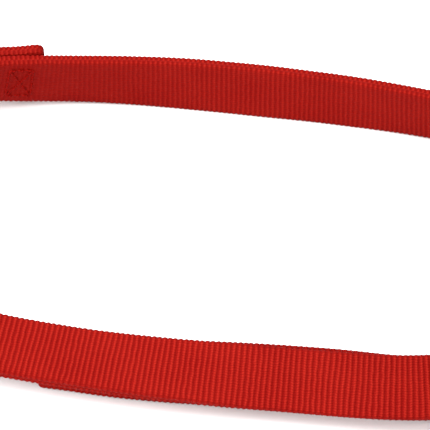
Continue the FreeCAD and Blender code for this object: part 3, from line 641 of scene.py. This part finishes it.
def cloth_material(name, low, high, pitch, depth, sheen, fuzz):
    """A plain weave of crossed yarns, with a worn, uneven tone."""
    n = Nodes(name)
    vector, (along, across, _) = n.weave()
    drift = n.noise(n.stretched(vector, (0.5, 0.5, 0.0)), 1.0, 2.0)
    warp = n.maths("SINE", n.maths("ADD", n.maths("MULTIPLY", along, 2 * pi / pitch), drift))
    weft = n.maths("SINE", n.maths("ADD", n.maths("MULTIPLY", across, 2 * pi / pitch), drift))
    grid = n.maths("MULTIPLY", warp, weft)
    fibres = n.noise(vector, 5.0, 4.0, 0.7)
    patches = n.noise(n.stretched(vector, (0.05, 0.09, 0.0)), 1.0, 3.0)
    tone = n.maths("ADD", n.maths("MULTIPLY", grid, 0.16), n.maths("MULTIPLY", fibres, fuzz))
    tone = n.maths("ADD", tone, n.maths("MULTIPLY", patches, 0.5))
    n.bump(n.maths("ADD", n.maths("MULTIPLY", grid, 1 - fuzz), fibres), depth)
    return n.finish(
        Base_Color=n.ramp(tone, low, high, 0.2, 0.85),
        Roughness=n.span(fibres, 0.66, 0.88),
        Specular_IOR_Level=0.12,
        Sheen_Weight=sheen,
        Sheen_Roughness=0.5,
    )


def foam_material():
    n = Nodes("closed_cell_foam")
    cells = n.add("ShaderNodeTexVoronoi")
    n.wire(n.object_place(), cells.inputs["Vector"])
    cells.inputs["Scale"].default_value = 1400
    n.bump(cells.outputs["Distance"], 0.15)
    return n.finish(
        Base_Color=n.ramp(cells.outputs["Distance"], (0.05, 0.05, 0.055), (0.13, 0.13, 0.14)),
        Roughness=n.span(cells.outputs["Distance"], 0.7, 0.95),
    )


def metal(name, low, high, smooth, rough, grain, brushed):
    """Plated or turned metal: faint casting waves or turning marks, smudges and fine wear."""
    n = Nodes(name)
    place = n.object_place()
    smudge = n.noise(place, 90.0, 4.0, 0.6)
    marks = n.noise(n.stretched(place, (grain, 40.0, 40.0) if brushed else (grain,) * 3), 1.0, 4.0)
    tone = n.maths("ADD", n.maths("MULTIPLY", smudge, 0.5), n.maths("MULTIPLY", marks, 0.5))
    n.bump(marks, 0.012 if brushed else 0.02, 0.6)
    return n.finish(
        Base_Color=n.ramp(tone, low, high, 0.3, 0.7),
        Metallic=1.0,
        Roughness=n.span(smudge, smooth, rough),
    )


RIB_PITCH = 1.32
TAB_RIB_PITCH = 0.9

red_webbing = woven("red_nylon", (0.166, 0.0010, 0.0005), (0.328, 0.0125, 0.0065), 0.62, RIB_PITCH, 0.0)
black_webbing = woven(
    "black_nylon", (0.003, 0.003, 0.0035), (0.028, 0.028, 0.03), 0.6, TAB_RIB_PITCH, 0.04
)
red_thread = thread_material("red_thread_twist", (0.15, 0.001, 0.0005), (0.25, 0.004, 0.002))
black_thread = thread_material("grey_thread_twist", (0.012, 0.012, 0.0135), (0.075, 0.075, 0.08))
cover_cloth = cloth_material(
    "pad_cover_cloth", (0.004, 0.004, 0.0045), (0.026, 0.026, 0.028), 0.7, 0.1, 0.05, 0.35
)
lining_cloth = cloth_material(
    "pad_lining_cloth", (0.007, 0.007, 0.008), (0.036, 0.036, 0.039), 0.5, 0.16, 0.15, 0.9
)
binding_tape = cloth_material(
    "binding_tape_cloth", (0.003, 0.003, 0.0035), (0.018, 0.018, 0.0195), 0.45, 0.08, 0.04, 0.3
)
foam = foam_material()
nickel = metal("nickel_plate_worn", (0.30, 0.295, 0.285), (0.46, 0.45, 0.435), 0.16, 0.32, 700.0, False)
steel = metal("turned_steel", (0.21, 0.21, 0.215), (0.34, 0.34, 0.345), 0.24, 0.42, 3200.0, True)


def dress(obj, material, body, slot, *replaced):
    """Gives a piece its material and its body, and hides the nodes that it stands for; slot is not
    used.
    """
    obj.data.materials.clear()
    obj.data.materials.append(material)
    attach(obj, body)
    if replaced:
        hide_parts(*replaced)
    return obj


# ---------------------------------------------------------------- webbing and tabs


def pressed_by_use(s, side):
    """The main strap's ribs are flattest on its inner face and where it was sewn at the ring."""
    return (0.35 + 0.65 * ease((s - 40) / 60)) * (1 - 0.4 * side)


main = webbing("main_strap", main_route(), **WEBBING, rib_pitch=RIB_PITCH, rib_depth=0.28,
               samples=6, across_count=12, seed=1.0, pressed=pressed_by_use,
               flares=(0.8, 0.4), corner=3.0)
dress(main, red_webbing, "root", "red_webbing", "main_webbing")
# a low selvedge share paints the adjuster's selvedges in shade
adjuster = webbing("adjuster_strap", adjuster_route(), **WEBBING, rib_pitch=RIB_PITCH,
                   rib_depth=0.28, samples=7, across_count=14, seed=4.0, selvedge=0.4)
dress(adjuster, red_webbing, "root", "red_webbing", "adjuster_webbing")
for end, sign in (("far", 1), ("near", -1)):
    tab = webbing(f"{end}_tab_strap", tab_route(sign), **TAB, rib_pitch=TAB_RIB_PITCH,
                  rib_depth=0.13, samples=6, across_count=16, seed=7.0 + sign)
    dress(tab, black_webbing, "root", "black_webbing", f"{end}_pad_tab")

# ---------------------------------------------------------------- stitching

THREAD_RADIUS = 0.3


def stitch_rings(point, heading, normal, long):
    """One stitch: a tube that comes up through the cloth, lies on it and goes down again."""
    side = np.cross(normal, heading)
    count, around = 9, 8
    t = np.linspace(-1, 1, count)
    lift = THREAD_RADIUS * 0.75 - (THREAD_RADIUS * 2.2) * np.abs(t) ** 4
    line = point + heading * (t * long / 2)[:, None] + normal * lift[:, None]
    slope = -(THREAD_RADIUS * 8.8) * np.sign(t) * np.abs(t) ** 3 / (long / 2)
    ahead = unit(heading + normal * slope[:, None])
    upward = unit(np.cross(ahead, side))
    angles = np.linspace(0, 2 * pi, around, endpoint=False)
    ring = side * np.cos(angles)[:, None]
    rings = line[:, None] + THREAD_RADIUS * (
        ring[None] + upward[:, None] * np.sin(angles)[None, :, None]
    )
    values = np.zeros(rings.shape)
    values[..., 0] = (t * long / 2)[:, None]
    values[..., 1] = angles[None]
    return rings, values


def stitches(name, places, material, slot, node):
    """One piece from many stitches, each a point, a heading, a normal and a length."""
    points, faces, values = [], [], []
    total = 0
    for place in places:
        stitch_points, stitch_faces, stitch_values = tube(*stitch_rings(*place))
        points.append(stitch_points)
        values.append(stitch_values)
        faces += [[v + total for v in face] for face in stitch_faces]
        total += len(stitch_points)
    piece = add_mesh(name, np.concatenate(points), faces, np.concatenate(values))
    return dress(piece, material, "root", slot, node)


def on_face(line, s, across, ds, dacross, outward, hand):
    """A stitch's point, heading and normal on a face of a band; hand is 1 on its outer face."""
    _, _, out, width = (row[0] for row in line.frame(s))
    before = line.place(s - 0.5, outward(s - 0.5))[0]
    after = line.place(s + 0.5, outward(s + 0.5))[0]
    run = unit(after - before)
    heading = unit(run * ds + width * dacross)
    normal = unit(np.cross(width, run)) * line.hand * hand
    if normal.dot(out) * hand < 0:
        normal = -normal
    point = line.place(s, outward(s), across)[0]
    return point, heading, normal


def seam(points, pitch):
    """Even steps along a polyline of (along, across), each with the direction of its leg."""
    steps = []
    for (s0, a0), (s1, a1) in zip(points, points[1:]):
        long = hypot(s1 - s0, a1 - a0)
        count = max(1, round(long / pitch))
        for k in range(count):
            f = (k + 0.5) / count
            steps.append((s0 + f * (s1 - s0), a0 + f * (a1 - a0), (s1 - s0) / long,
                          (a1 - a0) / long, long / count))
    return steps


def standing_at(height):
    """A face that stands at one height all along a line."""
    return lambda s: height + 0 * s


# how much of its step along a seam each stitch of a sewn box covers
STITCH_SHARE = 0.86


def box_stitch(name, line, middle, faces, material, slot, node):
    """A sewn box with its diagonals on each face; faces are (offset function, hand) pairs."""
    a, b = middle - BOX_LENGTH / 2, middle + BOX_LENGTH / 2
    w = BOX_WIDTH / 2
    steps = seam([(a, -w), (b, -w), (b, w), (a, w), (a, -w)], STITCH_PITCH)
    steps += seam([(a, -w), (b, w)], STITCH_PITCH) + seam([(a, w), (b, -w)], STITCH_PITCH)
    places = []
    for outward, hand in faces:
        for s, across, ds, da, long in steps:
            stitch = on_face(line, s, across, ds, da, outward, hand)
            places.append((*stitch, long * STITCH_SHARE))
    return stitches(name, places, material, slot, node)


THREAD_SINK = 0.12
BOX_FROM_END = 3.2
HALF = WEBBING["thick"] / 2 - THREAD_SINK
SEWN_MIDDLE = FOLDBACK - BOX_FROM_END - BOX_LENGTH / 2
ring_faces = [(lambda s: flat(s) - HALF, -1), (lambda s: foldback(s) + HALF, 1)]
box_stitch("main_ring_box_stitch", far_line, SEWN_MIDDLE, ring_faces, red_thread,
           "red_thread", "main_ring_stitching")
box_stitch("adjuster_ring_box_stitch", near_line, SEWN_MIDDLE, ring_faces, red_thread,
           "red_thread", "adjuster_ring_stitching")
slider_faces = [
    (lambda s: near_main_offset(s) + HALF, 1),
    (lambda s: slider_foldback(s) - HALF, -1),
]
box_stitch("slider_box_stitch", near_line, REAR_BAR + SEWN_MIDDLE, slider_faces, red_thread,
           "red_thread", "main_slider_stitching")

# ---------------------------------------------------------------- neck pad

PAD_MIDDLE = pad_line.length / 2
PAD_END = pad_line.length - PAD_START
EDGE_HALF_THICK = 1.3
SEWN_INSET = 3.4
# the share of half its length over which the pad widens
PAD_WIDENING = 0.72
# the thin rim along an edge or past a tab, and the slope from it up to the pad's full height
RIM_WIDTH = 1.2
RIM_SLOPE = 4.5
TAB_CLEAR = 1.0
END_SLOPE = 9.0


def pad_half(s):
    """Half the pad's width: full at the middle of the neck, narrow at the rings."""
    rise = ease((PAD_MIDDLE - np.abs(s - PAD_MIDDLE) - PAD_START) / (PAD_MIDDLE * PAD_WIDENING))
    return PAD_END_HALF_WIDTH + (PAD_HALF_WIDTH - PAD_END_HALF_WIDTH) * rise


def pad_height(s, across, full):
    """How far a pad face stands from the middle: thin at the sewn edges, full inside them."""
    inset = pad_half(s) - np.abs(across)
    ends = np.minimum(s - PAD_START, PAD_END - s)
    rise = ease((inset - RIM_WIDTH) / RIM_SLOPE)
    rise = rise * ease((ends - TAB_DEPTH - TAB_CLEAR) / END_SLOPE)
    low = EDGE_HALF_THICK + 0.5 * ease((ends - 2) / 4)
    return low + (full - low) * rise


SKIN_INSET = 0.4
SKIN_BACK = 0.15
SEWN_PAST_TAB = 2.0


def pad_skin(name, hand, full, along_count=150, across_count=26):
    """A closed skin from the pad's middle to one face, and which of its points are sewn down."""
    s = np.linspace(PAD_START, PAD_END, along_count)
    v = np.linspace(-1, 1, across_count)
    grid_s, grid_v = np.meshgrid(s, v, indexing="ij")
    across = grid_v * (pad_half(grid_s) - SKIN_INSET)
    height = pad_height(grid_s, across, full)
    face = pad_line.place(grid_s.ravel(), hand * height.ravel(), across.ravel())
    back = pad_line.place(grid_s.ravel(), hand * SKIN_BACK, across.ravel())
    n = along_count * across_count
    values = np.stack([grid_s.ravel(), across.ravel(), np.zeros(n)], axis=1)
    i = np.arange(along_count - 1)[:, None] * across_count
    j = np.arange(across_count - 1)
    top = np.stack([i + j, i + j + 1, i + across_count + j + 1, i + across_count + j], -1)
    top = top.reshape(-1, 4)
    border = list(range(across_count))
    border += [k * across_count + across_count - 1 for k in range(1, along_count)]
    border += [n - 1 - k for k in range(1, across_count)]
    border += [k * across_count for k in range(along_count - 2, 0, -1)]
    ring = np.array(border)
    after = np.roll(ring, -1)
    sides = np.stack([ring, ring + n, after + n, after], -1)
    points = np.concatenate([face, back])
    faces = np.concatenate([top, top[:, ::-1] + n, sides])
    if not outward_quads(points, faces):
        faces = faces[:, ::-1]
    skin = add_mesh(name, points, faces.tolist(), np.concatenate([values, values]))
    held = (pad_half(grid_s) - np.abs(across) < SEWN_INSET).ravel()
    ends = np.minimum(grid_s - PAD_START, PAD_END - grid_s).ravel()
    held |= ends < TAB_DEPTH + SEWN_PAST_TAB
    return skin, np.concatenate([held, np.ones(n, bool)])


CLOTH_STEPS = 20


def fill_out(skin, held, cap, pressure):
    """Cloth under pressure, sewn down where held, with its result kept in the mesh."""
    rest = np.empty(len(skin.data.vertices) * 3)
    skin.data.vertices.foreach_get("co", rest)
    group = skin.vertex_groups.new(name="sewn")
    group.add(np.nonzero(held)[0].tolist(), 1.0, "REPLACE")
    cloth = skin.modifiers.new("cloth", "CLOTH")
    settings = cloth.settings
    settings.vertex_group_mass = "sewn"
    settings.pin_stiffness = 1.0
    settings.quality = 6
    settings.mass = 0.15
    settings.tension_stiffness = 12
    settings.compression_stiffness = 6
    settings.shear_stiffness = 4
    settings.bending_stiffness = 0.02
    settings.shrink_min = -0.035
    settings.use_pressure = True
    settings.uniform_pressure_force = pressure
    settings.effector_weights.gravity = 0.0
    cloth.point_cache.frame_start = 1
    cloth.point_cache.frame_end = CLOTH_STEPS
    for step in range(1, CLOTH_STEPS + 1):
        bpy.context.scene.frame_set(step)
    graph = bpy.context.evaluated_depsgraph_get()
    settled = skin.evaluated_get(graph).to_mesh()
    moved = np.empty(len(rest))
    settled.vertices.foreach_get("co", moved)
    skin.evaluated_get(graph).to_mesh_clear()
    skin.modifiers.remove(cloth)
    skin.vertex_groups.remove(group)
    shift = (moved - rest).reshape(-1, 3)
    size = np.linalg.norm(shift, axis=1, keepdims=True)
    shift *= np.minimum(1.0, cap * MM / np.maximum(size, 1e-9))
    skin.data.vertices.foreach_set("co", (rest.reshape(-1, 3) + shift).ravel())
    skin.data.update()
    bpy.context.scene.frame_set(1)


# what is left at first between each skin and its full height, for the cloth to fill
COVER_ROOM = 0.6
LINING_ROOM = 0.7

cover, cover_held = pad_skin("pad_cover_skin", 1, PAD_FOAM / 2 + PAD_COVER - COVER_ROOM)
fill_out(cover, cover_held, cap=2.2, pressure=3.0)
dress(cover, cover_cloth, "root", "pad_cover", "pad_outer_cover")
lining, lining_held = pad_skin("pad_lining_skin", -1, PAD_FOAM / 2 + PAD_LINING - LINING_ROOM)
fill_out(lining, lining_held, cap=1.6, pressure=2.2)
dress(lining, lining_cloth, "root", "pad_lining", "pad_lining")


FOAM_SHEET_HALF = 0.12
FOAM_FROM_TAB = 4
FOAM_INSET = 4.5


def foam_core():
    """A thin hidden sheet that stands for the foam, whose room the closed skins fill."""
    inset = TAB_DEPTH + FOAM_FROM_TAB
    s = np.linspace(PAD_START + inset, PAD_END - inset, 90)
    angles = np.linspace(0, 2 * pi, 28, endpoint=False)
    wide = (pad_half(s) - FOAM_INSET)[:, None]
    across = wide * np.sign(np.cos(angles)) * np.abs(np.cos(angles)) ** 0.4
    off = FOAM_SHEET_HALF * np.sign(np.sin(angles)) * np.abs(np.sin(angles)) ** 0.4 + 0 * wide
    rings = pad_line.place(
        np.repeat(s, len(angles)), off.ravel(), across.ravel()
    ).reshape(len(s), len(angles), 3)
    return closed_tube("pad_foam_insert", rings, np.zeros(rings.shape))


dress(foam_core(), foam, "root", "pad_foam", "pad_foam_core")

# the tape's section, outwards from the pad's edge: how far it reaches in over the faces, where
# its outside starts to turn and how far it then bulges, and the fold's thin lip and inner end
TAPE_FOLD = 2.9
TAPE_TURN = 0.2
TAPE_BULGE = 1.0
TAPE_LIP = 0.4
TAPE_LIP_DROP = 0.15
TAPE_INNER_END = -0.3
TAPE_OUTER = EDGE_HALF_THICK + 0.75
TAPE_INNER = EDGE_HALF_THICK + 0.2
CORNER_LONG = 1.4
CORNER_WIDE = 1.6
CORNER_POINTS = 8


def tape_path(side):
    """The tape's line of (along, across): round a corner, along the edge, round the other."""
    s = np.linspace(PAD_START, PAD_END, 320)
    edge = np.stack([s, side * (pad_half(s) + 0.05)], axis=1)
    quarter = np.radians(90 * np.arange(CORNER_POINTS) / CORNER_POINTS)
    corner_s = PAD_START - 0.2 - CORNER_LONG * np.cos(quarter)
    corner_a = side * (PAD_END_HALF_WIDTH - CORNER_WIDE * (1 - np.sin(quarter)))
    start = np.stack([corner_s, corner_a], axis=1)
    end = np.stack([2 * PAD_MIDDLE - corner_s, corner_a], axis=1)[::-1]
    return np.concatenate([start, edge[3:-3], end])


def tape_profile():
    """The folded tape's section of (outwards, through), round its outside and back inside."""
    lip = -TAPE_FOLD + TAPE_LIP
    profile = [(-TAPE_FOLD, TAPE_OUTER - TAPE_LIP_DROP), (lip, TAPE_OUTER), (TAPE_TURN, TAPE_OUTER)]
    for k in range(1, 8):
        angle = radians(90 - 180 * k / 8)
        profile.append((TAPE_TURN + TAPE_BULGE * cos(angle), TAPE_OUTER * sin(angle)))
    profile += [(TAPE_TURN, -TAPE_OUTER), (lip, -TAPE_OUTER)]
    profile += [(-TAPE_FOLD, -TAPE_OUTER + TAPE_LIP_DROP), (-TAPE_FOLD, -TAPE_INNER)]
    profile += [(TAPE_INNER_END, -TAPE_INNER), (TAPE_INNER_END, TAPE_INNER)]
    profile.append((-TAPE_FOLD, TAPE_INNER))
    return np.array(profile).T


def binding(name, side, node):
    """Tape folded over one long edge of the pad and round both of its corners."""
    path = tape_path(side)
    heading = unit(np.gradient(path, axis=0))
    outward = side * np.stack([-heading[:, 1], heading[:, 0]], axis=1)
    reach, through = tape_profile()
    swell = 1 + 0.03 * wobble(path[:, :1] / 6.0, path[:, :1] * 0, side)
    at_s = path[:, :1] + outward[:, :1] * reach[None]
    at_a = path[:, 1:] + outward[:, 1:] * reach[None]
    off = through[None] * swell
    rings = pad_line.place(at_s.ravel(), off.ravel(), at_a.ravel()).reshape(*at_s.shape, 3)
    around = np.concatenate([[0.0], np.cumsum(np.hypot(np.diff(reach), np.diff(through)))])
    values = np.stack([np.broadcast_to(path[:, :1], at_s.shape),
                       np.broadcast_to(around[None], at_s.shape), np.zeros(at_s.shape)], axis=-1)
    return dress(closed_tube(name, rings, values), binding_tape, "root", "pad_binding", node)


binding("pad_upper_tape", 1, "pad_upper_binding")
binding("pad_lower_tape", -1, "pad_lower_binding")

TAB_MIDDLE = PAD_START + TAB_DEPTH / 2
TAB_SURFACE = EDGE_HALF_THICK + 0.5
SEAM_SURFACE = EDGE_HALF_THICK + 0.72
SEAM_PITCH = 2.6
SEAM_STITCH = 2.1
SEAM_FROM_END = 3.0
SEAM_INSET = 2.0

tab_faces = [(standing_at(TAB_SURFACE), 1), (standing_at(-TAB_SURFACE), -1)]
box_stitch("far_tab_box_stitch", pad_line, TAB_MIDDLE, tab_faces, black_thread,
           "black_thread", "far_tab_stitching")
box_stitch("near_tab_box_stitch", pad_line, pad_line.length - TAB_MIDDLE, tab_faces,
           black_thread, "black_thread", "near_tab_stitching")


def edge_seams():
    """Stitches through the tape along both long edges, on both faces."""
    places = []
    first = PAD_START + SEAM_FROM_END
    last = PAD_END - SEAM_FROM_END
    count = round((last - first) / SEAM_PITCH)
    for k in range(count + 1):
        s = first + (last - first) * k / count
        slope = float(pad_half(s + 0.5) - pad_half(s - 0.5))
        for side in (1, -1):
            across = side * (float(pad_half(s)) - SEAM_INSET)
            for hand in (1, -1):
                surface = standing_at(hand * SEAM_SURFACE)
                stitch = on_face(pad_line, s, across, 1.0, side * slope, surface, hand)
                places.append((*stitch, SEAM_STITCH))
    return stitches("pad_edge_seams", places, black_thread, "black_thread", "pad_stitching")


edge_seams()

# ---------------------------------------------------------------- bolt spring


def bolt_spring():
    """The coil behind the bolt, built at rest; on the real hook it closes up as the bolt is drawn back.
    """
    low, high = (np.array(corner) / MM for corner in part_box("bolt_spring"))
    axis_y, axis_z = EYE[1] + DATUM[1], EYE[2]
    wire, radius, turns = 0.25, 2.2, 6
    t = np.linspace(0, 1, turns * 24 + 1)
    x = low[0] + wire + (high[0] - low[0] - 2 * wire) * t
    angle = 2 * pi * turns * t
    centre = np.stack([x, axis_y + radius * np.cos(angle), axis_z + radius * np.sin(angle)], 1)
    along = unit(np.gradient(centre, axis=0))
    outward = np.stack([0 * t, np.cos(angle), np.sin(angle)], axis=1)
    side = unit(np.cross(along, outward))
    around = np.linspace(0, 2 * pi, 10, endpoint=False)
    ring = outward[:, None] * np.cos(around)[None, :, None]
    ring = ring + side[:, None] * np.sin(around)[None, :, None]
    spring = closed_tube("bolt_coil", centre[:, None] + wire * ring, np.zeros((len(t), 10, 3)))
    dress(spring, steel, "hook", "steel", "bolt_spring")
    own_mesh(spring)


bolt_spring()

# ---------------------------------------------------------------- metal parts kept from the CAD

FINISHES = {
    "far_ring": nickel,
    "near_ring": nickel,
    "slider_frame": nickel,
    "hook_eye": nickel,
    "hook_body": nickel,
    "swivel_post": steel,
    "swivel_washer": steel,
    "bolt": steel,
    "thumb_stud": steel,
}
for node, material in FINISHES.items():
    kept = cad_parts[node]
    kept.data.materials.clear()
    kept.data.materials.append(material)

# ---------------------------------------------------------------- studio

FLOOR_SIZE = 4000.0


def floor():
    half = FLOOR_SIZE / 2
    low = cad_box[0][2] / MM
    corners = [(-half, -half, low), (half, -half, low), (half, half, low), (-half, half, low)]
    plane = add_mesh("floor", corners, [[0, 1, 2, 3]], smooth=False)
    n = Nodes("pale_floor")
    grain = n.noise(n.object_place(), 40.0, 2.0)
    plane.data.materials.append(
        n.finish(
            Base_Color=n.ramp(grain, (0.88, 0.88, 0.88), (0.9, 0.9, 0.9)),
            Roughness=0.9,
            Specular_IOR_Level=0.1,
        )
    )


def softbox(name, place, target, wide, tall, power):
    """A rectangular area light that faces a point."""
    data = bpy.data.lights.new(name, "AREA")
    data.shape = "RECTANGLE"
    data.size = wide * MM
    data.size_y = tall * MM
    data.energy = power
    lamp = bpy.data.objects.new(name, data)
    lamp.location = Vector(place) * MM
    aim = (Vector(target) - Vector(place)).normalized()
    lamp.rotation_euler = aim.to_track_quat("-Z", "Y").to_euler()
    bpy.context.scene.collection.objects.link(lamp)


CAMERA_AZIMUTH = 8.0
CAMERA_ELEVATION = 38.35
CAMERA_DISTANCE = 779.0
VIEW_WIDTH = 110.2
SENSOR = 36.0


def camera():
    """Looks at the loop's datum on the table, from the near side and a little from the right."""
    azimuth, elevation = radians(CAMERA_AZIMUTH), radians(CAMERA_ELEVATION)
    away = Vector(
        (sin(azimuth) * cos(elevation), -cos(azimuth) * cos(elevation), sin(elevation))
    )
    data = bpy.data.cameras.new("camera")
    data.sensor_width = SENSOR
    data.lens = SENSOR * CAMERA_DISTANCE / VIEW_WIDTH
    data.clip_start = 0.01
    eye = bpy.data.objects.new("camera", data)
    eye.location = (Vector(DATUM) + away * CAMERA_DISTANCE) * MM
    eye.rotation_euler = away.to_track_quat("Z", "Y").to_euler()
    bpy.context.scene.collection.objects.link(eye)
    bpy.context.scene.camera = eye


SKY_STRENGTH = 1.15


def studio():
    world = bpy.data.worlds.new("studio")
    world.use_nodes = True
    sky = world.node_tree.nodes["Background"]
    sky.inputs["Color"].default_value = (1, 1, 1, 1)
    sky.inputs["Strength"].default_value = SKY_STRENGTH
    bpy.context.scene.world = world
    bpy.context.scene.view_settings.view_transform = "Standard"
    softbox("overhead", (-320, -60, 850), (-20, 0, 0), 900, 800, 9.0)
    softbox("front_left", (-420, -480, 400), (-40, -40, 0), 350, 300, 4.0)


floor()
camera()
studio()
